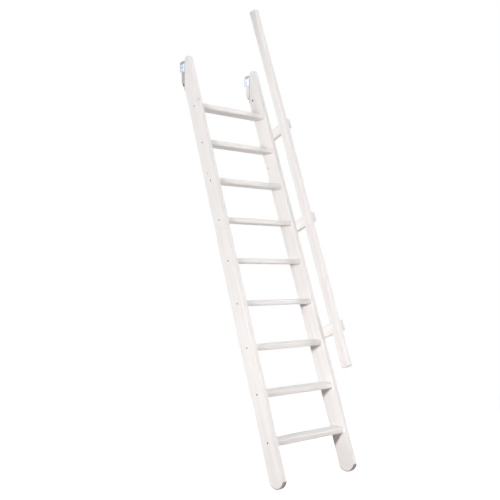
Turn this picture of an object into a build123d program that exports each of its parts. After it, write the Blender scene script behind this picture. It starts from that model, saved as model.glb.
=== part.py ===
from build123d import *
import os
from math import cos, radians, sin, tan

# Hook-on ladder for a bunk or loft bed. Millimetres and degrees, +Z up, +Y towards the bed, +X to the
# climber's right. The origin lies midway between the two hooks, where a bed rail's front face (Y = 0)
# meets the level face that the hooks rest with (Z = 0). The floor is hook_seat_height below.

# Overall stance
lean = 19.0
hook_seat_height = 2045.0
clear_width = 408.0

# Stringers: a level cut at the top, a plumb cut behind it for the hook, and an arc at the foot
board_thickness = 21.0
stringer_width = 95.0
stringer_top_rise = 19.0
stringer_plumb_length = 168.4
stringer_front_corner = 20.0
stringer_back_corner = 11.0
board_arris = 2.0
foot_rise = 25.5
sole_thickness = 3.0

# Treads, evenly spaced from the floor to the top one, which lies its drop below the hooks
tread_count = 9
top_tread_drop = 245.0
tread_thickness = 25.0
tread_depth = 73.0
tread_front_radius = 7.0
tread_back_radius = 3.0
housing_depth = 8.0
housing_clearance = 0.15

# Handrail and the boards that carry it, placed along the stringer from its foot or down from its top
handrail_width = 28.0
handrail_depth = 45.0
handrail_gap = 85.5
handrail_start = 453.0
handrail_top_rise = 360.0
handrail_arris = 4.0
handrail_end_radius = 10.0
handrail_tip_radius = 6.0
bracket_width = 52.0
lower_bracket_up = 653.5
upper_bracket_down = 420.0
middle_bracket_offset = 14.0
bracket_front_inset = 4.0
bracket_back_inset = 3.5
bracket_corner = 7.0

# Hooks, bent from flat steel, and the packing blocks below them
hook_width = 20.0
hook_thickness = 4.0
hook_bend = 5.0
hook_throat = 38.0
hook_lip = 50.0
hook_end_margin = 9.5
hook_end_radius = 6.0
lock_hole_radius = 3.25
lock_hole_rise = 15.0
block_gap = 3.0
block_width = 15.0
block_depth = 30.0
block_length = 78.0
block_slope_height = 32.0
block_slope_depth = 15.0
block_arris = 1.5

# Countersunk screws: head and shank radius, and how far each one grips in the last piece it enters
fastener_clearance = 0.1
head_sink = 0.4
head_land = 0.5
tip_length = 5.0
recess_width = 1.2
recess_depth = 1.8
recess_span = 4.2
board_screw_radii = (4.0, 2.0)
hook_screw_radii = (3.8, 1.9)
block_screw_radii = (4.3, 2.2)
tread_screw_grip = 47.0
bracket_screw_grip = 14.0
hook_screw_grip = 22.0
block_screw_grip = 23.0
bracket_screw_spread = 22.0
handrail_screw_spread = 14.0
hook_screw_drops = (14.0, 37.0)
block_screw_offsets = (15.0, 37.0)

# Bolts and barrel nuts: one of each draws the foot of a hook on to its stringer, and one of each draws a
# packing block on to its hook
bolt_gap = 16.0
block_bolt_rise = 8.5
bolt_radius = 3.0
bolt_head_radius = 5.5
bolt_head_height = 4.0
bolt_socket_radius = 2.3
bolt_socket_depth = 2.5
bolt_tail = 7.0
block_bolt_tail = 3.0
nut_radius = 6.0
nut_length = 14.0
block_nut_length = 12.0
nut_setback = 26.5
block_nut_setback = 10.5
nut_sink = 1.0
nut_slot_width = 1.4
nut_slot_depth = 1.2

lean_sin = sin(radians(lean))
lean_cos = cos(radians(lean))
lean_tan = tan(radians(lean))
sides = {"left": -1, "right": 1}

# Where the stringer's axis stands: the arc of its foot touches the floor, and the plumb cut, which the
# hook's leg lies on, runs out at the back edge.
floor_z = -hook_seat_height
plumb_y = -hook_thickness
half_board = stringer_width / 2
foot_radius = (half_board ** 2 + foot_rise ** 2) / (2 * foot_rise)
foot_z = floor_z + foot_radius * (1 - lean_cos)
axis_top_y = plumb_y + stringer_plumb_length * lean_tan - half_board / lean_cos
foot_y = axis_top_y - (stringer_top_rise - foot_z) * lean_tan
side_view = Plane(origin=(0, foot_y, foot_z), x_dir=(0, lean_cos, -lean_sin), z_dir=(1, 0, 0))
inner_x = clear_width / 2
outer_x = inner_x + board_thickness
bracket_x = outer_x + board_thickness
hook_middle = inner_x + board_thickness / 2

# Places that follow from these
tread_rise = (hook_seat_height - top_tread_drop) / tread_count
tread_numbers = range(1, tread_count + 1)
handrail_back = half_board + handrail_gap
handrail_front = handrail_back + handrail_depth
handrail_middle = handrail_back + handrail_depth / 2
upper_bracket_up = (stringer_top_rise - foot_z) / lean_cos - upper_bracket_down
middle_bracket_up = (lower_bracket_up + upper_bracket_up) / 2 + middle_bracket_offset
bracket_places = {"lower": lower_bracket_up, "middle": middle_bracket_up, "upper": upper_bracket_up}
block_drop = hook_lip + block_gap
bolt_drop = block_drop + block_length + bolt_gap
hook_leg = bolt_drop + hook_end_margin
block_bolt_drop = block_drop + block_length - block_bolt_rise
block_outer_x = hook_middle + block_width / 2
nut_y = plumb_y - nut_setback

# Each kind of screw: head radius, shank radius and length
tread_screw = (*board_screw_radii, board_thickness - housing_depth + tread_screw_grip)
bracket_screw = (*board_screw_radii, board_thickness + bracket_screw_grip)
hook_screw = (*hook_screw_radii, hook_thickness + hook_screw_grip)
block_screw = (*block_screw_radii, block_depth + hook_thickness + block_screw_grip)


def tread_z(number):
    """Height of the centre of a tread, numbered from the floor."""
    return floor_z + number * tread_rise - tread_thickness / 2


def tread_y(number):
    """Place of the centre of a tread, on the stringer's axis."""
    return foot_y + (tread_z(number) - foot_z) * lean_tan


def leaning(y, z):
    """Distance behind the stringer's axis and up along it of a point seen from the side."""
    behind = (y - foot_y) * lean_cos - (z - foot_z) * lean_sin
    up = (y - foot_y) * lean_sin + (z - foot_z) * lean_cos
    return behind, up


def up_at_height(behind, z):
    """Distance up a line parallel to the axis at which it reaches a height."""
    return (z - foot_z + behind * lean_sin) / lean_cos


def slab(plane, corners, x_low, x_high):
    """Plate between two X planes whose outline is a list of (a, b, corner radius)."""
    points = [corner[:2] for corner in corners]
    radii = [corner[2] for corner in corners]
    face = make_face(FilletPolyline(*points, radius=radii, close=True))
    return Pos(X=x_low) * extrude(plane * face, amount=x_high - x_low, dir=(1, 0, 0))


def ease(plate, radius):
    """Rounds the arrises all round both broad faces of a plate that stands across X."""
    return fillet(plate.faces().filter_by(Axis.X).edges(), radius)


def turned(profile):
    """Solid of revolution about Z from a list of (radius, height)."""
    return revolve(Plane.XZ * make_face(Polyline(*profile, close=True)), Axis.Z)


def screw(sizes):
    """Countersunk wood screw with a cross recess, head at Z = 0, tip downwards."""
    head, shank, length = sizes
    neck = -head_land - (head - shank)
    body = turned([(0, 0), (head, 0), (head, -head_land), (shank, neck), (shank, tip_length - length),
                   (0, -length)])
    recess = Box(recess_span, recess_width, 2 * recess_depth)
    recess += Box(recess_width, recess_span, 2 * recess_depth)
    return body - recess


def screw_hole(sizes):
    """Drilled and countersunk hole that a screw lies in, with its clearance all round."""
    head, shank, length = (size + fastener_clearance for size in sizes)
    neck = -head_land - (head - shank)
    return turned([(0, 2 * head_sink), (head, 2 * head_sink), (head, -head_land), (shank, neck),
                   (shank, tip_length - length), (0, -length)])


def facing(x, y, z, outward):
    """Plane a screw head is sunk into: its centre on the surface, and the way the surface faces."""
    surface = Plane(origin=(x, y, z), z_dir=outward)
    return surface.offset(-head_sink)


def on_axis(behind, up, x, outward):
    """The same, for a place given along the stringer."""
    spot = side_view.from_local_coords((behind, up, 0))
    return facing(x, spot.Y, spot.Z, outward)


def tread_section(grow):
    """A tread's cross-section about its own centre, seen along X."""
    back = tread_depth / 2 + grow
    high = tread_thickness / 2 + grow
    front_radius = tread_front_radius + grow
    back_radius = tread_back_radius + grow
    return [(-back, -high, front_radius), (back, -high, back_radius), (back, high, back_radius),
            (-back, high, front_radius)]


def tread_plane(number):
    """Side view of a tread, about its own centre."""
    return Plane(origin=(0, tread_y(number), tread_z(number)), x_dir=(0, 1, 0), z_dir=(1, 0, 0))


def tread_screw_places(side):
    """One screw through the stringer into the middle of each tread's end."""
    return [facing(side * outer_x, tread_y(number), tread_z(number), (side, 0, 0))
            for number in tread_numbers]


def bracket_screw_places(up):
    """Two screws into the stringer in line with the board, two into the handrail one above the other."""
    spots = [(-bracket_screw_spread, up), (bracket_screw_spread, up),
             (-handrail_middle, up - handrail_screw_spread), (-handrail_middle, up + handrail_screw_spread)]
    return [on_axis(behind, height, bracket_x, (1, 0, 0)) for behind, height in spots]


def hook_screw_places(side):
    """Two screws through the hook's leg, inside the throat."""
    return [facing(side * hook_middle, 0, -drop, (0, 1, 0)) for drop in hook_screw_drops]


def block_screw_places(side):
    """Two screws through the packing block and the hook's leg."""
    return [facing(side * hook_middle, block_depth, -block_drop - offset, (0, 1, 0))
            for offset in block_screw_offsets]


def shank(start, end, grow):
    """Bolt's shank along Y between two places, or its hole when grown."""
    return Pos(Y=(start + end) / 2) * Rot(X=90) * Cylinder(bolt_radius + grow, abs(end - start) + 2 * grow)


def hook_shank(side, grow):
    """Shank of the bolt that runs forwards from the hook's leg into the stringer."""
    return Pos(side * hook_middle, 0, -bolt_drop) * shank(0, nut_y - bolt_tail, grow)


def block_shank(side, grow):
    """Shank of the bolt that runs back from the hook's leg into the packing block."""
    end = block_nut_setback + block_bolt_tail
    return Pos(side * hook_middle, 0, -block_bolt_drop) * shank(plumb_y, end, grow)


def bolt_head(seat, outward):
    """Round head with a hexagon socket, on a seat across Y."""
    head_middle = seat + outward * bolt_head_height / 2
    head = Pos(Y=head_middle) * Rot(X=90) * Cylinder(bolt_head_radius, bolt_head_height)
    socket_middle = seat + outward * (bolt_head_height - bolt_socket_depth / 2)
    hexagon = RegularPolygon(bolt_socket_radius, 6)
    return head - Pos(Y=socket_middle) * extrude(Plane.XZ * hexagon, amount=bolt_socket_depth / 2, both=True)


def head_recess(side):
    """Recess in the plumb cut for the head of the bolt that holds the packing block."""
    radius = bolt_head_radius + fastener_clearance
    depth = bolt_head_height + fastener_clearance
    return Pos(side * hook_middle, plumb_y, -block_bolt_drop) * Rot(X=90) * Cylinder(radius, 2 * depth)


def hook_nut_place(side):
    """Where the hook's barrel nut goes in: the face, the way in, its place in Y, its drop and its length."""
    return side * inner_x, side, nut_y, bolt_drop, nut_length


def block_nut_place(side):
    """The same for the packing block's nut, from the block's outer face."""
    return side * block_outer_x, -side, block_nut_setback, block_bolt_drop, block_nut_length


def nut_hole(mouth, inward, y, drop, length):
    """Blind hole along X for a barrel nut."""
    depth = nut_sink + length + fastener_clearance
    radius = nut_radius + fastener_clearance
    hole = Pos(mouth + inward * depth / 2, y, -drop) * Rot(Y=90) * Cylinder(radius, depth)
    return hole + Pos(mouth, y, -drop) * Rot(Y=90) * Cylinder(radius, nut_sink)


def across_board(side):
    """The two X planes of a stringer's faces, the lower one first."""
    return sorted((side * inner_x, side * outer_x))


def outside_foot(side, radius):
    """What lies further than a radius from the centre of the foot's arc, below the ends of that arc."""
    below = [(-stringer_width, -foot_radius, 0), (stringer_width, -foot_radius, 0),
             (stringer_width, foot_rise, 0), (-stringer_width, foot_rise, 0)]
    centre = side_view.from_local_coords((0, foot_radius, 0))
    drum = Pos(side * hook_middle, centre.Y, centre.Z) * Rot(Y=90) * Cylinder(radius, 2 * board_thickness)
    return slab(side_view, below, *across_board(side)) - drum


def sole_band(side):
    """The skin of the foot's arc that the sole takes up."""
    return outside_foot(side, foot_radius - sole_thickness)


def stringer_blank(side):
    """Board cut to length: arc at the foot, level and plumb cuts at the top, arrises eased."""
    top_front = (-half_board, up_at_height(-half_board, stringer_top_rise))
    top_back = leaning(plumb_y, stringer_top_rise)
    plumb_end = (half_board, (plumb_y - foot_y - half_board * lean_cos) / lean_sin)
    outline = [(half_board, 0, 0), (-half_board, 0, 0)]
    outline += [(*top_front, stringer_front_corner), (*top_back, stringer_back_corner), (*plumb_end, 0)]
    board = slab(side_view, outline, *across_board(side)) - outside_foot(side, foot_radius)
    return ease(board, board_arris)


def stringer(side):
    """Stringer with its tread housings and every hole drilled in it."""
    board = stringer_blank(side)
    board -= sole_band(side)
    housing = sorted((0, side * (inner_x + housing_depth)))
    for number in tread_numbers:
        board -= slab(tread_plane(number), tread_section(housing_clearance), *housing)
    for place in tread_screw_places(side):
        board -= place * screw_hole(tread_screw)
    if side > 0:
        for up in bracket_places.values():
            for place in bracket_screw_places(up):
                board -= place * screw_hole(bracket_screw)
    for place in hook_screw_places(side):
        board -= place * screw_hole(hook_screw)
    for place in block_screw_places(side):
        board -= place * screw_hole(block_screw)
    board -= hook_shank(side, fastener_clearance) + head_recess(side)
    return board - nut_hole(*hook_nut_place(side))


def sole(side):
    """Rubber strip let in flush round the end of a stringer."""
    return stringer_blank(side) & sole_band(side)


def tread(number):
    """Flat tread with rounded edges, its ends let into both stringers."""
    end = inner_x + housing_depth
    board = slab(tread_plane(number), tread_section(0), -end, end)
    for side in sides.values():
        board -= tread_screw_places(side)[number - 1] * screw_hole(tread_screw)
    return board


def handrail():
    """Long batten parallel to the right stringer, its outer face in line with the stringer's."""
    top_front = (-handrail_front, up_at_height(-handrail_front, handrail_top_rise))
    top_back = (-handrail_back, up_at_height(-handrail_back, handrail_top_rise))
    outline = [(-handrail_back, handrail_start, handrail_end_radius)]
    outline += [(-handrail_front, handrail_start, handrail_end_radius)]
    outline += [(*top_front, handrail_tip_radius), (*top_back, handrail_tip_radius)]
    batten = ease(slab(side_view, outline, outer_x - handrail_width, outer_x), handrail_arris)
    for up in bracket_places.values():
        for place in bracket_screw_places(up):
            batten -= place * screw_hole(bracket_screw)
    return batten


def bracket(up):
    """Short board across the outside of the right stringer, out to the handrail."""
    back = half_board - bracket_back_inset
    front = bracket_front_inset - handrail_front
    low, high = up - bracket_width / 2, up + bracket_width / 2
    outline = [(back, low, bracket_corner), (front, low, bracket_corner)]
    outline += [(front, high, bracket_corner), (back, high, bracket_corner)]
    board = slab(side_view, outline, outer_x, bracket_x)
    board = fillet(board.faces().sort_by(Axis.X)[-1].edges(), board_arris)
    for place in bracket_screw_places(up):
        board -= place * screw_hole(bracket_screw)
    return board


def hook(side):
    """Flat steel bent over the bed rail: leg on the plumb cut, level top, lip behind the rail."""
    back = hook_throat + hook_thickness
    outside = hook_bend + hook_thickness
    low_x = side * hook_middle - hook_width / 2
    outline = [(-hook_thickness, -hook_leg, 0), (0, -hook_leg, 0), (0, 0, hook_bend)]
    outline += [(hook_throat, 0, hook_bend), (hook_throat, -hook_lip, 0), (back, -hook_lip, 0)]
    outline += [(back, hook_thickness, outside), (-hook_thickness, hook_thickness, outside)]
    strip = slab(Plane.YZ, outline, low_x, low_x + hook_width)
    crosswise = strip.edges().filter_by(Axis.Y)
    ends = crosswise.filter_by_position(Axis.Z, -hook_leg - 1, -hook_lip + 1)
    strip = fillet(ends, hook_end_radius)
    for place in hook_screw_places(side):
        strip -= place * screw_hole(hook_screw)
    for place in block_screw_places(side):
        strip -= place * screw_hole(block_screw)
    strip -= hook_shank(side, fastener_clearance) + block_shank(side, fastener_clearance)
    lock = Pos(side * hook_middle, back - hook_thickness / 2, lock_hole_rise - hook_lip)
    return strip - lock * Rot(X=90) * Cylinder(lock_hole_radius, 2 * hook_thickness)


def packing_block(side):
    """Narrow wooden block behind the hook's leg, sloped off at its lower end."""
    top, bottom = -block_drop, -block_drop - block_length
    outline = [(0, bottom, 0), (block_depth - block_slope_depth, bottom, 0)]
    outline += [(block_depth, bottom + block_slope_height, 0), (block_depth, top, 0), (0, top, 0)]
    low_x = side * hook_middle - block_width / 2
    block = slab(Plane.YZ, outline, low_x, low_x + block_width)
    block = fillet(block.faces().sort_by(Axis.Y)[-1].edges(), block_arris)
    for place in block_screw_places(side):
        block -= place * screw_hole(block_screw)
    return block - block_shank(side, fastener_clearance) - nut_hole(*block_nut_place(side))


def hook_bolt(side):
    """Bolt through the foot of a hook, its head behind the hook's leg."""
    return hook_shank(side, 0) + Pos(side * hook_middle, 0, -bolt_drop) * bolt_head(0, 1)


def block_bolt(side):
    """Bolt into a packing block, its head sunk in the plumb cut in front of the hook's leg."""
    return block_shank(side, 0) + Pos(side * hook_middle, 0, -block_bolt_drop) * bolt_head(plumb_y, -1)


def barrel_nut(mouth, inward, y, drop, length):
    """Short round nut along X, with a screwdriver slot in the end that shows."""
    near = mouth + inward * nut_sink
    body = Pos(near + inward * length / 2, y, -drop) * Rot(Y=90) * Cylinder(nut_radius, length)
    return body - Pos(near, y, -drop) * Box(2 * nut_slot_depth, nut_slot_width, 2 * nut_radius)


def hook_nut(side):
    """Barrel nut in a stringer, with its hole for the hook's bolt."""
    return barrel_nut(*hook_nut_place(side)) - hook_shank(side, fastener_clearance)


def block_nut(side):
    """Barrel nut in a packing block, with its hole for the block's bolt."""
    return barrel_nut(*block_nut_place(side)) - block_shank(side, fastener_clearance)


def screws(places, sizes):
    """One like screw at each place."""
    return [place * screw(sizes) for place in places]


def pair_of_screws(places_on_side, sizes):
    """The screws of both sides of the ladder."""
    return screws(places_on_side(sides["left"]) + places_on_side(sides["right"]), sizes)


nodes = {}
for name, side in sides.items():
    nodes[name + "_stringer"] = [stringer(side)]
    nodes[name + "_foot_sole"] = [sole(side)]
    nodes[name + "_hook"] = [hook(side)]
    nodes[name + "_packing_block"] = [packing_block(side)]
for number in tread_numbers:
    nodes[f"tread_{number}"] = [tread(number)]
nodes["handrail"] = [handrail()]
for name, up in bracket_places.items():
    nodes[f"handrail_bracket_{name}"] = [bracket(up)]
bracket_screw_group = [screws(bracket_screw_places(up), bracket_screw) for up in bracket_places.values()]
nodes["tread_screws"] = pair_of_screws(tread_screw_places, tread_screw)
nodes["bracket_screws"] = sum(bracket_screw_group, [])
nodes["hook_screws"] = pair_of_screws(hook_screw_places, hook_screw)
nodes["block_screws"] = pair_of_screws(block_screw_places, block_screw)
for name, piece in {"hook_bolts": hook_bolt, "hook_nuts": hook_nut, "block_bolts": block_bolt,
                    "block_nuts": block_nut}.items():
    nodes[name] = [piece(side) for side in sides.values()]

os.makedirs("parts", exist_ok=True)
for name, solids in nodes.items():
    shape = solids[0] if len(solids) == 1 else Compound(children=solids)
    export_step(shape, f"parts/{name}.step")
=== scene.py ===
from math import copysign, pi, radians

import bmesh
import bpy
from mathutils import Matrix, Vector


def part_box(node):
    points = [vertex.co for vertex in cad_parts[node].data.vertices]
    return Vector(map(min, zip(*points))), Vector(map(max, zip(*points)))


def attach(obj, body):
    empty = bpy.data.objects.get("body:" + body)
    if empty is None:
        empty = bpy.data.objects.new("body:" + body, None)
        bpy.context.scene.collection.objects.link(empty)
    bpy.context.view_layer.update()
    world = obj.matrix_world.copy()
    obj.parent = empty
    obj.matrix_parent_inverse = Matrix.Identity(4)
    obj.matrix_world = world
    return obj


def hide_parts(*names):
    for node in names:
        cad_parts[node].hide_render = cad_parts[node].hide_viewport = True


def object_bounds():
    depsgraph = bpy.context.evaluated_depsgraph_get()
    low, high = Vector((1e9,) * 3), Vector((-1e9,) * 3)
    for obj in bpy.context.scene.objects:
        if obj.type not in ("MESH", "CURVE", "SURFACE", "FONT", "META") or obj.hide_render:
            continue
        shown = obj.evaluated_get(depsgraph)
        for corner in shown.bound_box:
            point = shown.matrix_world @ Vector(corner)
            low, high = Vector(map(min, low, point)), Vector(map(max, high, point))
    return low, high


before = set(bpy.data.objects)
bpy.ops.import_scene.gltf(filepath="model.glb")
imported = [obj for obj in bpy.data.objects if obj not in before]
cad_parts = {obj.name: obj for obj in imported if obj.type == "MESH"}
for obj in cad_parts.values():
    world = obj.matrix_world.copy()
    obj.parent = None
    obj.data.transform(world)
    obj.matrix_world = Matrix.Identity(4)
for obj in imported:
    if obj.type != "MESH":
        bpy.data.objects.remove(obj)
cad_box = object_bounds()

# Stringers: the two long side boards, planed pine glued up from straight planks, sawn and rounded at
# the foot and cut level and plumb at the top. A white glaze is brushed on and clear lacquer sprayed over
# it, so the growth rings and a few knots still show faintly through the white.
LEAN = radians(19)
ALONG_STRINGER = (-LEAN, 0, 0)


def linear(code):
    """Linear colour, with alpha, of an sRGB hex code."""
    channels = [int(code[place:place + 2], 16) / 255 for place in (0, 2, 4)]
    return [c / 12.92 if c <= 0.04045 else ((c + 0.055) / 1.055) ** 2.4 for c in channels] + [1]


def feed(tree, socket, value):
    """Links a socket to the node, the socket or the list of them that is given, or sets it to a value."""
    for source in value if isinstance(value, list) else [value]:
        if isinstance(source, bpy.types.Node):
            source = next(output for output in source.outputs if output.enabled)
        if isinstance(source, bpy.types.NodeSocket):
            tree.links.new(source, socket)
        else:
            socket.default_value = value
            break


def add(tree, kind, inputs=None, **settings):
    """A new node with its settings made and its inputs, known by name or by place, fed."""
    node = tree.nodes.new(kind)
    for name, value in settings.items():
        setattr(node, name, value)
    for name, value in (inputs or {}).items():
        socket = next(s for place, s in enumerate(node.inputs) if s.enabled and name in (place, s.name))
        feed(tree, socket, value)
    return node


def new_material(name):
    """An empty node material and its tree."""
    material = bpy.data.materials.new(name)
    material.use_nodes = True
    material.node_tree.nodes.clear()
    return material, material.node_tree


def lacquered_pine(name, heart, turn, knots=(), tone="FFFFFF"):
    """White-glazed, lacquered pine: growth rings, fibres and long pale streaks show faintly through the
    glaze, knots a little more, and the glaze is rubbed thin along the arrises. heart is a point on the
    trunk's centre line, turn lays the plank's length along its own Z, knots are known places and radii,
    and the last colour darkens the whole board as painted shade, for a board that lies in shadow."""
    # Rings are 2 to 4 mm apart in pine; 8 mm is drawn so that they show from a few steps away.
    ring_spacing, ring_stretch = 0.008, 10
    ring_wander, wander_scale = 3.5, 0.35
    # A wave texture of scale 1 repeats after this length.
    wave_length = pi / 10
    # Fibres are hair thin; streaks 5 mm wide and 300 mm long stand for them.
    fibre_width, fibre_length, grain_depth = 0.005, 0.3, 0.0004
    # The glaze was brushed on along the board, in streaks 22 mm wide and half a metre long.
    streak_width, streak_length = 0.022, 0.5
    thick_until, thin_from = 0.35, 0.70
    # Knots lie about 300 mm apart, and nearly half of their places are empty.
    knot_spacing, knot_radius, empty_share, knot_strength = 0.30, 0.008, 0.45, 0.75
    # Share of the space within reach that wood fills where an arris begins, and where it is sharp
    arris_reach, arris_begins, arris_sharp = 0.004, 0.85, 0.50
    patch_size, patch_low, patch_high = 0.05, 0.3, 0.7
    least_rubbed, most_rubbed = 0.25, 0.85
    smoothest, roughest = 0.40, 0.56
    thick_glaze, thin_glaze, ring_tint = linear("F6F4F3"), linear("EFECEA"), linear("E8E3E0")
    knot_tint, bare_pine = linear("A89A90"), linear("A3988F")
    material, tree = new_material(name)
    place = add(tree, "ShaderNodeTexCoord").outputs["Object"]
    plank = add(tree, "ShaderNodeMapping", {"Vector": place, "Location": heart, "Rotation": turn},
                vector_type="TEXTURE")

    # Knots: some of the cells on the plank's face hold one, and the known ones are added
    split = add(tree, "ShaderNodeSeparateXYZ", {"Vector": plank})
    face = add(tree, "ShaderNodeCombineXYZ", {"X": split.outputs["Y"], "Y": split.outputs["Z"]})
    cells = add(tree, "ShaderNodeTexVoronoi", {"Vector": face, "Scale": 1 / knot_spacing},
                voronoi_dimensions="2D")
    chosen = add(tree, "ShaderNodeSeparateColor", {"Color": cells.outputs["Color"]})
    size = add(tree, "ShaderNodeMapRange", {"Value": chosen.outputs["Red"], "From Min": empty_share,
                                            "To Max": knot_radius / knot_spacing})
    knot = add(tree, "ShaderNodeMapRange", {"Value": cells.outputs["Distance"], "From Max": size,
                                            "To Min": 1, "To Max": 0}, interpolation_type="SMOOTHSTEP")
    for spot, radius in knots:
        reach = add(tree, "ShaderNodeVectorMath", {0: place, 1: spot}, operation="DISTANCE")
        known = add(tree, "ShaderNodeMapRange", {"Value": reach.outputs["Value"], "From Max": radius,
                                                 "To Min": 1, "To Max": 0}, interpolation_type="SMOOTHSTEP")
        knot = add(tree, "ShaderNodeMath", {0: knot, 1: known}, operation="MAXIMUM")

    # Figure: rings that bend round the knots, broken up by fibres, under glaze of uneven thickness
    ring_scale = (1, 1, 1 / ring_stretch)
    ring_place = add(tree, "ShaderNodeVectorMath", {0: plank, 1: ring_scale}, operation="MULTIPLY")
    rings = add(tree, "ShaderNodeTexWave",
                {"Vector": ring_place, "Scale": wave_length / ring_spacing, "Distortion": ring_wander,
                 "Detail": 2, "Detail Scale": wander_scale, "Phase Offset": knot},
                wave_type="RINGS", rings_direction="Z", wave_profile="SAW")
    fibre_scale = (1 / fibre_width, 1 / fibre_width, 1 / fibre_length)
    fibre_place = add(tree, "ShaderNodeVectorMath", {0: plank, 1: fibre_scale}, operation="MULTIPLY")
    fibres = add(tree, "ShaderNodeTexNoise", {"Vector": fibre_place, "Scale": 1, "Detail": 3})
    figure = add(tree, "ShaderNodeMath", {0: rings.outputs["Fac"], 1: fibres}, operation="MULTIPLY")
    streak_scale = (1 / streak_width, 1 / streak_width, 1 / streak_length)
    streak_place = add(tree, "ShaderNodeVectorMath", {0: plank, 1: streak_scale}, operation="MULTIPLY")
    streaks = add(tree, "ShaderNodeTexNoise", {"Vector": streak_place, "Scale": 1, "Detail": 2})
    brushed = add(tree, "ShaderNodeMapRange", {"Value": streaks, "From Min": thick_until,
                                               "From Max": thin_from})
    coat = add(tree, "ShaderNodeMix", {"Factor": brushed, "A": thick_glaze, "B": thin_glaze},
               data_type="RGBA")
    grain = add(tree, "ShaderNodeMix", {"Factor": figure, "A": coat, "B": ring_tint}, data_type="RGBA")
    shown_knot = add(tree, "ShaderNodeMath", {0: knot, 1: knot_strength}, operation="MULTIPLY")
    knotty = add(tree, "ShaderNodeMix", {"Factor": shown_knot, "A": grain, "B": knot_tint},
                 data_type="RGBA")

    # Wear: the arrises are rubbed, in some patches more than in others
    inside = add(tree, "ShaderNodeAmbientOcclusion", {"Distance": arris_reach},
                 inside=True, only_local=True)
    arris = add(tree, "ShaderNodeMapRange", {"Value": inside.outputs["AO"], "From Min": arris_begins,
                                             "From Max": arris_sharp})
    patches = add(tree, "ShaderNodeTexNoise", {"Vector": place, "Scale": 1 / patch_size, "Detail": 4})
    thinned = add(tree, "ShaderNodeMapRange",
                  {"Value": patches, "From Min": patch_low, "From Max": patch_high,
                   "To Min": least_rubbed, "To Max": most_rubbed})
    rubbed = add(tree, "ShaderNodeMath", {0: arris, 1: thinned}, operation="MULTIPLY")
    worn = add(tree, "ShaderNodeMix", {"Factor": rubbed, "A": knotty, "B": bare_pine}, data_type="RGBA")
    # Painted shade: the given colour darkens the whole board, for a board that lies in shadow
    colour = add(tree, "ShaderNodeMix", {"Factor": 1.0, "A": worn, "B": linear(tone)}, data_type="RGBA",
                 blend_type="MULTIPLY")
    gloss = add(tree, "ShaderNodeMapRange", {"Value": fibres, "To Min": smoothest, "To Max": roughest})
    relief = add(tree, "ShaderNodeBump", {"Height": figure, "Strength": 0.25, "Distance": grain_depth})
    shader = add(tree, "ShaderNodeBsdfPrincipled",
                 {"Base Color": colour, "Roughness": gloss, "Normal": relief,
                  "IOR": 1.5, "Coat Weight": 0.15, "Coat Roughness": 0.3})
    add(tree, "ShaderNodeOutputMaterial", {"Surface": shader})
    return material


def finish_node(node, material):
    """Gives a CAD node, which keeps its shape, its finish."""
    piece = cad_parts[node]
    piece.data.materials.clear()
    piece.data.materials.append(material)


def pine_board(node, turn, heart_offset, **finish):
    """Gives a wooden CAD node its own plank, whose heart lies off the board's middle."""
    low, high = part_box(node)
    heart = (low + high) / 2 + Vector(heart_offset)
    finish_node(node, lacquered_pine("white_lacquered_pine_" + node, heart, turn, **finish))


# Knots that show through the glaze, with their radii
LEFT_KNOTS = [((-0.225, -0.131, -0.230), 0.009), ((-0.225, -0.081, -0.214), 0.004),
              ((-0.225, -0.096, -0.272), 0.004), ((-0.225, -0.203, -0.619), 0.008)]
RIGHT_KNOTS = [((0.204, -0.157, -0.546), 0.009)]

pine_board("left_stringer", ALONG_STRINGER, heart_offset=(-0.055, 0.012, 0.2), knots=LEFT_KNOTS)
pine_board("right_stringer", ALONG_STRINGER, heart_offset=(0.060, -0.015, 0.5), knots=RIGHT_KNOTS)

# Treads: nine flat pine boards with rounded front edges, let eight millimetres into each stringer and
# glued there. They are cut from one long plank, so the heart moves a little from one to the next.
ACROSS_LADDER = (0, pi / 2, 0)
TREAD_COUNT = 9
LEAST_HEART_DROP, HEART_DROP_STEP, HEART_SHIFT = 0.024, 0.006, 0.01

for number in range(1, TREAD_COUNT + 1):
    # Steps of four deal out all nine drops, so that neighbours differ.
    heart_drop = LEAST_HEART_DROP + HEART_DROP_STEP * (number * 4 % TREAD_COUNT)
    heart_shift = HEART_SHIFT * (number % 3 - 1)
    pine_board(f"tread_{number}", ACROSS_LADDER, heart_offset=(0, heart_shift, -heart_drop))

# Tread screws: one countersunk wood screw through each stringer into the end of every tread, sunk just
# under the surface. They are hardened steel, phosphated dark and left unpainted.


def phosphated_steel():
    """Phosphated screw steel: a thin dark grey crystal coat, dull and slightly blotched."""
    blotch_size = 0.002
    dark_coat, pale_coat = linear("4E4B49"), linear("6B6763")
    smoothest, roughest = 0.42, 0.62
    material, tree = new_material("phosphated_steel")
    place = add(tree, "ShaderNodeTexCoord").outputs["Object"]
    blotches = add(tree, "ShaderNodeTexNoise", {"Vector": place, "Scale": 1 / blotch_size, "Detail": 4})
    colour = add(tree, "ShaderNodeMix", {"Factor": blotches, "A": dark_coat, "B": pale_coat},
                 data_type="RGBA")
    gloss = add(tree, "ShaderNodeMapRange", {"Value": blotches, "To Min": smoothest, "To Max": roughest})
    shader = add(tree, "ShaderNodeBsdfPrincipled",
                 {"Base Color": colour, "Roughness": gloss, "Metallic": 0.8})
    add(tree, "ShaderNodeOutputMaterial", {"Surface": shader})
    return material


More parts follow.
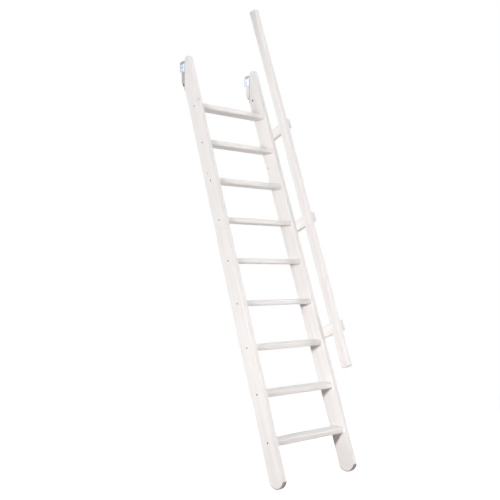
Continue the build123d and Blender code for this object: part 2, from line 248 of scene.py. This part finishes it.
def solid_boxes(node):
    """Lowest and highest corner of each separate solid of a CAD node."""
    weld_distance = 1e-5
    mesh = bmesh.new()
    mesh.from_mesh(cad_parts[node].data)
    bmesh.ops.remove_doubles(mesh, verts=mesh.verts, dist=weld_distance)
    boxes = []
    for start in mesh.verts:
        if start.tag:
            continue
        start.tag = True
        reached = [start]
        for vertex in reached:
            for edge in vertex.link_edges:
                other = edge.other_vert(vertex)
                if not other.tag:
                    other.tag = True
                    reached.append(other)
        corners = list(zip(*(vertex.co for vertex in reached)))
        boxes.append((Vector(map(min, corners)), Vector(map(max, corners))))
    mesh.free()
    return boxes


def screw_tree():
    """Countersunk screws with a cross recess, one at each point, head outwards along its facing."""
    # Shares of the land broken at the rim, of the core left at the point, of the recess left at its floor
    rim_share, point_share, floor_share = 0.4, 0.08, 0.5
    round_sides, turn_steps, ridge_sides = 32, 16, 3
    tree = bpy.data.node_groups.new("countersunk_screws", "GeometryNodeTree")
    tree.interface.new_socket("Geometry", in_out="INPUT", socket_type="NodeSocketGeometry")
    tree.interface.new_socket("Geometry", in_out="OUTPUT", socket_type="NodeSocketGeometry")
    for name in ("Head Radius", "Head Land", "Shank Radius", "Core Radius", "Length", "Tip Length",
                 "Thread Length", "Thread Pitch", "Recess Span", "Recess Width", "Recess Depth"):
        tree.interface.new_socket(name, in_out="INPUT", socket_type="NodeSocketFloat")
    tree.interface.new_socket("Seed", in_out="INPUT", socket_type="NodeSocketInt")
    tree.interface.new_socket("Material", in_out="INPUT", socket_type="NodeSocketMaterial")
    given = add(tree, "NodeGroupInput").outputs
    head, land, core = given["Head Radius"], given["Head Land"], given["Core Radius"]
    length, tip_length, recess_depth = given["Length"], given["Tip Length"], given["Recess Depth"]

    # Turned body: a line of points down the axis, each with the radius of the screw there
    rim = add(tree, "ShaderNodeMath", {0: land, 1: rim_share}, operation="MULTIPLY")
    top = add(tree, "ShaderNodeMath", {0: head, 1: rim}, operation="SUBTRACT")
    cone = add(tree, "ShaderNodeMath", {0: head, 1: core}, operation="SUBTRACT")
    neck = add(tree, "ShaderNodeMath", {0: land, 1: cone}, operation="ADD")
    tip = add(tree, "ShaderNodeMath", {0: length, 1: tip_length}, operation="SUBTRACT")
    point = add(tree, "ShaderNodeMath", {0: core, 1: point_share}, operation="MULTIPLY")
    depths = (0, rim, land, neck, tip, length)
    radii = (top, head, head, core, core, point)
    index = add(tree, "GeometryNodeInputIndex")
    depth = add(tree, "GeometryNodeIndexSwitch", {"Index": index}, data_type="FLOAT")
    radius = add(tree, "GeometryNodeIndexSwitch", {"Index": index}, data_type="FLOAT")
    for switch, stations in ((depth, depths), (radius, radii)):
        while len(switch.index_switch_items) < len(stations):
            switch.index_switch_items.new()
        for socket, station in zip(switch.inputs[1:], stations):
            feed(tree, socket, station)
    height = add(tree, "ShaderNodeMath", {0: depth, 1: -1}, operation="MULTIPLY")
    points = add(tree, "GeometryNodeMeshLine", {"Count": len(depths)})
    axis = add(tree, "GeometryNodeMeshToCurve", {"Mesh": points})
    axis = add(tree, "GeometryNodeSetPosition",
               {"Geometry": axis, "Position": add(tree, "ShaderNodeCombineXYZ", {"Z": height})})
    circle = add(tree, "GeometryNodeCurvePrimitiveCircle", {"Resolution": round_sides, "Radius": 1.0})
    body = add(tree, "GeometryNodeCurveToMesh",
               {"Curve": axis, "Profile Curve": circle, "Scale": radius, "Fill Caps": True})

    # Cross recess: two crossed bars that narrow as they go down, cut out of the head
    position = add(tree, "GeometryNodeInputPosition")
    down = add(tree, "ShaderNodeSeparateXYZ", {"Vector": position}).outputs["Z"]
    recess_floor = add(tree, "ShaderNodeMath", {0: recess_depth, 1: -1}, operation="MULTIPLY")
    narrow = add(tree, "ShaderNodeMapRange", {"Value": down, "From Min": recess_floor, "From Max": 0.0,
                                              "To Min": floor_share, "To Max": 1.0})
    taper = add(tree, "ShaderNodeCombineXYZ", {"X": narrow, "Y": narrow, "Z": 1.0})
    tapered = add(tree, "ShaderNodeVectorMath", {0: position, 1: taper}, operation="MULTIPLY")
    double_depth = add(tree, "ShaderNodeMath", {0: recess_depth, 1: 2}, operation="MULTIPLY")
    bars = []
    for across, along in (("Recess Span", "Recess Width"), ("Recess Width", "Recess Span")):
        size = add(tree, "ShaderNodeCombineXYZ", {"X": given[across], "Y": given[along], "Z": double_depth})
        bar = add(tree, "GeometryNodeMeshCube", {"Size": size, "Vertices Z": 3})
        bars.append(add(tree, "GeometryNodeSetPosition", {"Geometry": bar, "Position": tapered}))
    headed = add(tree, "GeometryNodeMeshBoolean", {"Mesh 1": body, "Mesh 2": bars},
                 operation="DIFFERENCE", solver="EXACT")

    # Thread: a three-sided ridge wound round the core, up to the outer radius
    thread_length = given["Thread Length"]
    turns = add(tree, "ShaderNodeMath", {0: thread_length, 1: given["Thread Pitch"]}, operation="DIVIDE")
    ridge = add(tree, "ShaderNodeMath", {0: given["Shank Radius"], 1: core}, operation="SUBTRACT")
    helix = add(tree, "GeometryNodeCurveSpiral",
                {"Resolution": turn_steps, "Rotations": turns, "Start Radius": core, "End Radius": core,
                 "Height": thread_length})
    wire = add(tree, "GeometryNodeCurvePrimitiveCircle", {"Resolution": ridge_sides, "Radius": ridge})
    thread = add(tree, "GeometryNodeCurveToMesh",
                 {"Curve": helix, "Profile Curve": wire, "Fill Caps": True})
    start = add(tree, "ShaderNodeMath", {0: tip_length, 1: length}, operation="SUBTRACT")
    thread = add(tree, "GeometryNodeTransform",
                 {"Geometry": thread, "Translation": add(tree, "ShaderNodeCombineXYZ", {"Z": start})})
    screw = add(tree, "GeometryNodeJoinGeometry", {"Geometry": [headed, thread]})

    # Each screw stopped at its own turn of the driver
    facing = add(tree, "GeometryNodeInputNamedAttribute", {"Name": "facing"}, data_type="FLOAT_VECTOR")
    aim = add(tree, "FunctionNodeAlignRotationToVector", {"Vector": facing.outputs["Attribute"]}, axis="Z")
    turn = add(tree, "FunctionNodeRandomValue", {"Max": 2 * pi, "Seed": given["Seed"]}, data_type="FLOAT")
    spin = add(tree, "FunctionNodeAxisAngleToRotation", {"Axis": (0, 0, 1), "Angle": turn})
    aim = add(tree, "FunctionNodeRotateRotation", {"Rotation": aim, "Rotate By": spin},
              rotation_space="LOCAL")
    placed = add(tree, "GeometryNodeInstanceOnPoints",
                 {"Points": given["Geometry"], "Instance": screw, "Rotation": aim})
    real = add(tree, "GeometryNodeRealizeInstances", {"Geometry": placed})
    coated = add(tree, "GeometryNodeSetMaterial", {"Geometry": real, "Material": given["Material"]})
    add(tree, "NodeGroupOutput", {"Geometry": coated})
    return tree


countersunk_screws = screw_tree()
screw_steel = phosphated_steel()


def screws(name, node, outward, material, seed, sizes):
    """Screws in place of a CAD node's plain ones, their heads where those are. outward gives the way that
    the head of a screw with that middle faces, and its radius and length come from the CAD solids."""
    heads, facings = [], []
    for low, high in solid_boxes(node):
        facing = outward((low + high) / 2)
        half = (high - low) / 2
        length = 2 * abs(half.dot(facing))
        # Every screw lies level, so half its height is the radius of its head.
        head_radius = half.z
        heads.append((low + high) / 2 + facing * length / 2)
        facings.append(facing)
    mesh = bpy.data.meshes.new(name)
    mesh.from_pydata(heads, [], [])
    aims = mesh.attributes.new("facing", "FLOAT_VECTOR", "POINT")
    for datum, facing in zip(aims.data, facings):
        datum.vector = facing
    piece = bpy.data.objects.new(name, mesh)
    bpy.context.scene.collection.objects.link(piece)
    maker = piece.modifiers.new("maker", "NODES")
    maker.node_group = countersunk_screws
    given = {"Head Radius": head_radius, "Length": length, "Seed": seed, "Material": material, **sizes}
    for item in countersunk_screws.interface.items_tree:
        if item.name in given:
            maker[item.identifier] = given[item.name]
    evaluated = piece.evaluated_get(bpy.context.evaluated_depsgraph_get())
    made = bpy.data.meshes.new_from_object(evaluated)
    piece.modifiers.remove(maker)
    piece.data = made
    made.name = name
    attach(piece, "root")
    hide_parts(node)


SCREW_HEAD = {"Head Land": 0.0005, "Recess Span": 0.0042, "Recess Width": 0.0012, "Recess Depth": 0.0018}
BOARD_SCREW = {**SCREW_HEAD, "Shank Radius": 0.0020, "Core Radius": 0.0014, "Tip Length": 0.005,
               "Thread Pitch": 0.0020}

screws("countersunk_tread_screws", "tread_screws", lambda spot: Vector((copysign(1, spot.x), 0, 0)),
       screw_steel, seed=3, sizes={**BOARD_SCREW, "Thread Length": 0.036})

# Foot soles: a strip of grey rubber glued on round the arc at the end of each stringer, flush with its
# faces, so that the ladder neither slips nor marks the floor.


def moulded_rubber():
    """Grey moulded rubber: dull, finely pebbled, a little dusty."""
    pebble_size, pebble_height, dust_size = 0.0012, 0.0002, 0.015
    clean_grey, dusty_grey = linear("9E9590"), linear("BAB1AC")
    smoothest, roughest = 0.7, 0.95
    material, tree = new_material("grey_moulded_rubber")
    place = add(tree, "ShaderNodeTexCoord").outputs["Object"]
    pebbles = add(tree, "ShaderNodeTexVoronoi", {"Vector": place, "Scale": 1 / pebble_size})
    dust = add(tree, "ShaderNodeTexNoise", {"Vector": place, "Scale": 1 / dust_size, "Detail": 4})
    colour = add(tree, "ShaderNodeMix", {"Factor": dust, "A": clean_grey, "B": dusty_grey},
                 data_type="RGBA")
    relief = add(tree, "ShaderNodeBump", {"Height": pebbles.outputs["Distance"], "Strength": 0.5,
                                          "Distance": pebble_height})
    gloss = add(tree, "ShaderNodeMapRange", {"Value": dust, "To Min": smoothest, "To Max": roughest})
    shader = add(tree, "ShaderNodeBsdfPrincipled",
                 {"Base Color": colour, "Roughness": gloss, "Normal": relief})
    add(tree, "ShaderNodeOutputMaterial", {"Surface": shader})
    return material


sole_rubber = moulded_rubber()
for side in ("left", "right"):
    finish_node(side + "_foot_sole", sole_rubber)

# Handrail and its brackets: a pine batten in front of the right stringer, with all its arrises rounded
# for the hand, and three short pine boards that are screwed to the outside of the stringer and carry it.
ALONG_BRACKET = (-LEAN - pi / 2, 0, 0)

pine_board("handrail", ALONG_STRINGER, heart_offset=(0.030, 0.020, 0.1))
for place_name, heart_shift in (("lower", 0.014), ("middle", -0.022), ("upper", 0.006)):
    pine_board("handrail_bracket_" + place_name, ALONG_BRACKET, heart_offset=(0.030, heart_shift, 0))

# Bracket screws: two into the stringer and two into the handrail through each bracket, the same screws as
# at the treads but shorter.
screws("countersunk_bracket_screws", "bracket_screws", lambda spot: Vector((1, 0, 0)),
       screw_steel, seed=7, sizes={**BOARD_SCREW, "Thread Length": 0.022})

# Hooks: flat steel, punched and bent over a bed rail, then zinc plated bright with a bluish passivation.
# Each lies with its long leg on the plumb cut of a stringer.


def zinc_plated_steel():
    """Bright zinc plating: bluish white metal, cloudy and streaked from the plating bath. Inside the bends
    and the throat the steel darkens, partly as thin, dull plating and partly as painted shade."""
    streak_width, streak_length, streak_height = 0.0015, 0.03, 0.0001
    cloud_size, cloud_low, cloud_high = 0.009, 0.38, 0.62
    # How open to its surroundings a spot is where a bend begins, and deep inside it
    bend_reach, bend_begins, bend_deep = 0.045, 0.75, 0.40
    smoothest, roughest = 0.38, 0.56
    dull_zinc, bright_zinc, dull_and_shaded_steel = linear("A4AFC1"), linear("DDE3EC"), linear("3F4248")
    material, tree = new_material("zinc_plated_steel")
    place = add(tree, "ShaderNodeTexCoord").outputs["Object"]
    streak_scale = (1 / streak_width, 1 / streak_length, 1 / streak_length)
    drawn = add(tree, "ShaderNodeVectorMath", {0: place, 1: streak_scale}, operation="MULTIPLY")
    streaks = add(tree, "ShaderNodeTexNoise", {"Vector": drawn, "Scale": 1, "Detail": 3})
    clouds = add(tree, "ShaderNodeTexNoise", {"Vector": place, "Scale": 1 / cloud_size, "Detail": 3})
    blotches = add(tree, "ShaderNodeMapRange", {"Value": clouds, "From Min": cloud_low,
                                                "From Max": cloud_high})
    plating = add(tree, "ShaderNodeMix", {"Factor": blotches, "A": dull_zinc, "B": bright_zinc},
                  data_type="RGBA")
    # Painted shade, with thin plating: the steel is darkened where its own bends and throat close it in
    open_side = add(tree, "ShaderNodeAmbientOcclusion", {"Distance": bend_reach})
    dull_and_shaded_bend = add(tree, "ShaderNodeMapRange", {"Value": open_side.outputs["AO"], "From Min": bend_begins,
                                            "From Max": bend_deep})
    colour = add(tree, "ShaderNodeMix", {"Factor": dull_and_shaded_bend, "A": plating, "B": dull_and_shaded_steel},
                 data_type="RGBA")
    gloss = add(tree, "ShaderNodeMapRange", {"Value": streaks, "To Min": smoothest, "To Max": roughest})
    relief = add(tree, "ShaderNodeBump", {"Height": streaks, "Strength": 0.2, "Distance": streak_height})
    shader = add(tree, "ShaderNodeBsdfPrincipled",
                 {"Base Color": colour, "Roughness": gloss, "Metallic": 1.0, "Normal": relief})
    add(tree, "ShaderNodeOutputMaterial", {"Surface": shader})
    return material


zinc = zinc_plated_steel()
for side in ("left", "right"):
    finish_node(side + "_hook", zinc)

# Hook screws: two small countersunk wood screws through each hook's leg, inside the throat, into the plumb
# cut of the stringer. They are steel, zinc plated like the hooks.
HOOK_SCREW = {**SCREW_HEAD, "Shank Radius": 0.0019, "Core Radius": 0.0013, "Tip Length": 0.004,
              "Thread Length": 0.016, "Thread Pitch": 0.0018}

screws("countersunk_hook_screws", "hook_screws", lambda spot: Vector((0, 1, 0)),
       zinc, seed=11, sizes=HOOK_SCREW)

# Packing blocks: a short pine block on the bed's side of each hook's leg, which fills the gap to the bed
# below its rail. It is sloped off at its lower end and lacquered with the rest. The left one is painted
# darker, as painted shade where its stringer stands between it and the lamp.
UPRIGHT = (0, 0, 0)

# The left block's darker colour is painted shade from its stringer; the right block is left white
for side, heart_side, tone in (("left", -0.02, "C6BEBA"), ("right", 0.02, "FFFFFF")):
    pine_board(side + "_packing_block", UPRIGHT, heart_offset=(heart_side, 0.012, 0), tone=tone)

# Block screws: two countersunk wood screws through each packing block and the hook's leg into the stringer.
# They are a little thicker than those at the treads, and phosphated dark like them.
BLOCK_SCREW = {**SCREW_HEAD, "Shank Radius": 0.0022, "Core Radius": 0.0015, "Tip Length": 0.005,
               "Thread Length": 0.020, "Thread Pitch": 0.0022}

screws("countersunk_block_screws", "block_screws", lambda spot: Vector((0, 1, 0)),
       screw_steel, seed=13, sizes=BLOCK_SCREW)

# Bolts and barrel nuts: a socket-headed bolt draws the foot of each hook on to its stringer, and another
# draws each packing block on to its hook. Both go into round steel cross nuts with slotted ends, which
# show on the inside of the stringers and on the outside of the blocks.
for node in ("hook_bolts", "hook_nuts", "block_bolts", "block_nuts"):
    finish_node(node, screw_steel)

# Floor: a matt studio floor, painted white, that runs on into a white backdrop. It takes a soft shadow of
# the ladder and throws a warm light back up under the treads.
FLOOR_SIZE = 60.0
SHADOW_SETBACK = 0.25
floor_z = cad_box[0].z


def whites_seen(tree):
    """One where the eye meets a white surround: straight on, in a reflection or through something clear."""
    path = add(tree, "ShaderNodeLightPath").outputs
    mirrored = add(tree, "ShaderNodeMath", {0: path["Is Glossy Ray"], 1: path["Is Transmission Ray"]},
                   operation="MAXIMUM")
    return add(tree, "ShaderNodeMath", {0: path["Is Camera Ray"], 1: mirrored}, operation="MAXIMUM")


def studio_floor(shadow_middle):
    """White floor paint: seen directly it is as white as the backdrop, less the shadow round the feet."""
    glow, shadow_reach, shadow_end = 0.80, 0.9, 2.4
    warm_bounce, shadow_tone = linear("BCB0AE"), linear("BFBFBF")
    material, tree = new_material("white_studio_floor")
    matt = add(tree, "ShaderNodeBsdfDiffuse", {"Color": warm_bounce})
    shaded = add(tree, "ShaderNodeBsdfDiffuse", {"Color": shadow_tone})
    lit = add(tree, "ShaderNodeEmission", {"Strength": glow})
    white = add(tree, "ShaderNodeEmission", {"Strength": 1.0})
    place = add(tree, "ShaderNodeTexCoord").outputs["Object"]
    away = add(tree, "ShaderNodeVectorMath", {0: place, 1: shadow_middle}, operation="DISTANCE")
    far = add(tree, "ShaderNodeMapRange", {"Value": away.outputs["Value"], "From Min": shadow_reach,
                                           "From Max": shadow_end}, interpolation_type="SMOOTHSTEP")
    near_feet = add(tree, "ShaderNodeAddShader", {0: shaded, 1: lit})
    seen = add(tree, "ShaderNodeMixShader", {0: far, 1: near_feet, 2: white})
    shader = add(tree, "ShaderNodeMixShader", {0: whites_seen(tree), 1: matt, 2: seen})
    add(tree, "ShaderNodeOutputMaterial", {"Surface": shader})
    return material


mesh = bpy.data.meshes.new("floor")
edge = FLOOR_SIZE / 2
corners = [(-edge, -edge, floor_z), (edge, -edge, floor_z), (edge, edge, floor_z), (-edge, edge, floor_z)]
mesh.from_pydata(corners, [], [(0, 1, 2, 3)])
mesh.materials.append(studio_floor((0, cad_box[0].y + SHADOW_SETBACK, floor_z)))
floor = bpy.data.objects.new("floor", mesh)
bpy.context.scene.collection.objects.link(floor)

# Light: a small lamp well to the left at chest height, which throws the short shadows under the treads,
# with narrow beams from there and above for the ladder's foot and top. Soft lamps overhead, in front, to
# the right and behind fill in the other faces.
ROOM_FILL = 0.01

world = bpy.data.worlds.new("white_room")
bpy.context.scene.world = world
world.use_nodes = True
room = world.node_tree
room.nodes.clear()
fill = add(room, "ShaderNodeBackground", {"Color": linear("FFFFFF"), "Strength": ROOM_FILL})
white = add(room, "ShaderNodeBackground", {"Color": linear("FFFFFF"), "Strength": 1.0})
surround = add(room, "ShaderNodeMixShader", {0: whites_seen(room), 1: fill, 2: white})
add(room, "ShaderNodeOutputWorld", {"Surface": surround})


def soft_lamp(name, spot, aim, size, power, height=None, spread=pi):
    """Soft lamp, round or as tall as is given, that shines towards a point and doesn't show itself."""
    lamp = bpy.data.lights.new(name, "AREA")
    lamp.shape = "RECTANGLE" if height else "DISK"
    lamp.size = size
    lamp.size_y = height or size
    lamp.energy = power
    lamp.spread = spread
    holder = bpy.data.objects.new(name, lamp)
    holder.location = spot
    holder.rotation_euler = (Vector(aim) - Vector(spot)).to_track_quat("-Z", "Y").to_euler()
    holder.visible_camera = False
    bpy.context.scene.collection.objects.link(holder)


LADDER_MIDDLE, LADDER_TOP, LADDER_FOOT = (0, -0.35, -0.9), (0.1, -0.05, 0.06), (0, -0.55, -1.5)
SIDE_SPOT = (-4.0, -1.44, -0.94)

soft_lamp("side_lamp", SIDE_SPOT, LADDER_MIDDLE, size=0.3, power=70)
soft_lamp("lower_side_lamp", SIDE_SPOT, LADDER_FOOT, size=0.3, power=4.6, spread=radians(50))
soft_lamp("upper_side_lamp", (-4.0, -1.3, 0.0), LADDER_TOP, size=0.3, power=1.55, height=0.9,
          spread=radians(30))
soft_lamp("upper_left_lamp", (-1.8, -2.6, 1.6), LADDER_MIDDLE, size=1.5, power=25)
soft_lamp("overhead_lamp", (0.3, -1.0, 2.4), LADDER_MIDDLE, size=1.5, power=28)
soft_lamp("front_right_lamp", (1.5, -2.9, -0.7), LADDER_MIDDLE, size=1.0, power=13)
soft_lamp("upper_right_lamp", (2.2, -2.6, 0.6), LADDER_MIDDLE, size=1.2, power=17)
soft_lamp("low_front_lamp", (0.6, -2.6, -1.6), LADDER_MIDDLE, size=0.8, power=12)
soft_lamp("right_lamp", (3.8, 0.6, -0.4), LADDER_MIDDLE, size=1.2, power=36)
soft_lamp("back_lamp", (1.0, 3.6, 0.2), LADDER_MIDDLE, size=1.5, power=52)

# Camera: a little under a metre above the floor, a few steps to the left of the ladder's front, and tilted
# up a little so that the whole handrail is in the picture.
CAMERA_SPOT = (-2.09206, -2.91784, -1.17146)
CAMERA_TILT, CAMERA_TURN, CAMERA_ROLL = radians(92.9677), radians(-38.104), radians(-0.7496)
SENSOR_WIDTH, FOCAL_LENGTH = 36, 48.2932
FARTHEST_SEEN = 200

view = bpy.data.cameras.new("camera")
view.sensor_width = SENSOR_WIDTH
view.lens = FOCAL_LENGTH
view.clip_end = FARTHEST_SEEN
camera = bpy.data.objects.new("camera", view)
camera.location = CAMERA_SPOT
camera.rotation_euler = (CAMERA_TILT, 0, CAMERA_TURN)
camera.rotation_euler.rotate_axis("Z", CAMERA_ROLL)
bpy.context.scene.collection.objects.link(camera)
bpy.context.scene.camera = camera
bpy.context.scene.view_settings.view_transform = "Standard"
